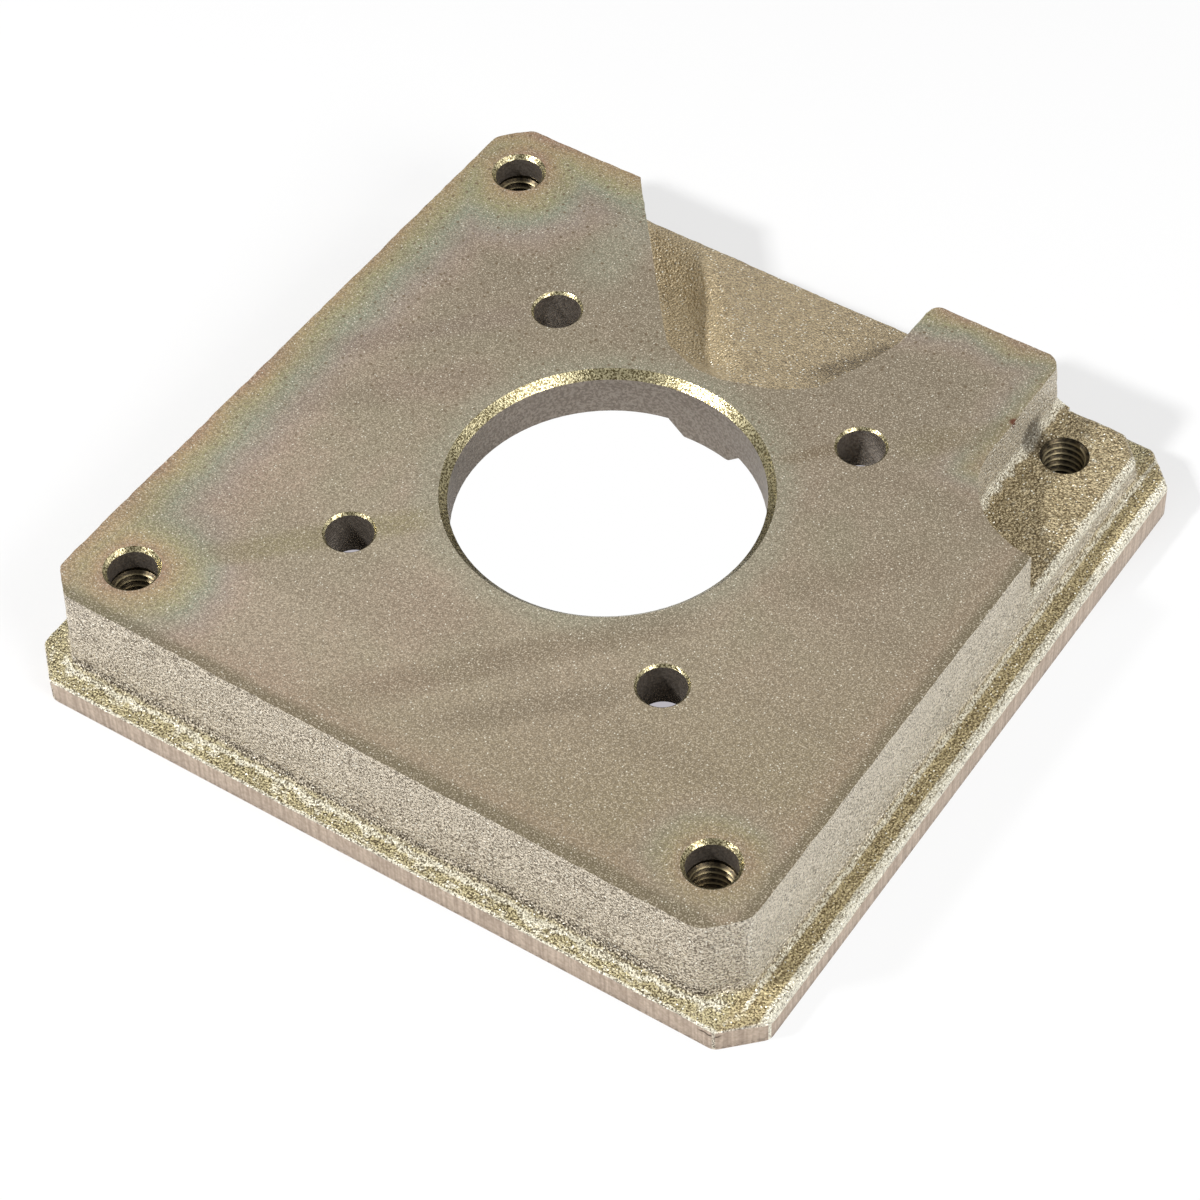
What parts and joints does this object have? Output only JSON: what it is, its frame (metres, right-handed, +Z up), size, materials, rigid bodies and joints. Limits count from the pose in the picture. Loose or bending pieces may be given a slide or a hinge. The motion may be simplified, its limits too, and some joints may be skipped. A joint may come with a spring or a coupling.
{
  "type": "brake mounting bracket",
  "caption": "Square cast adapter plate with a central bore, plain and tapped holes, a stepped corner, a sloping side pocket and a hollow underside.",
  "frame": {"origin": "centre of the square of tapped holes, on the central bore's axis, at the bottom face", "axes": "+Z up along the bore's axis, towards the milled top; +Y towards the side with the open sloping pocket; +X towards the side with the long step at its far corner"},
  "size_m": [0.1616, 0.1606, 0.0254],
  "materials": {
    "casting": "zinc plated with a pale yellow passivate, milled on top and sand cast elsewhere"
  },
  "bodies": {
    "root": {"mounting_bracket": "casting"}
  },
  "joints": []
}
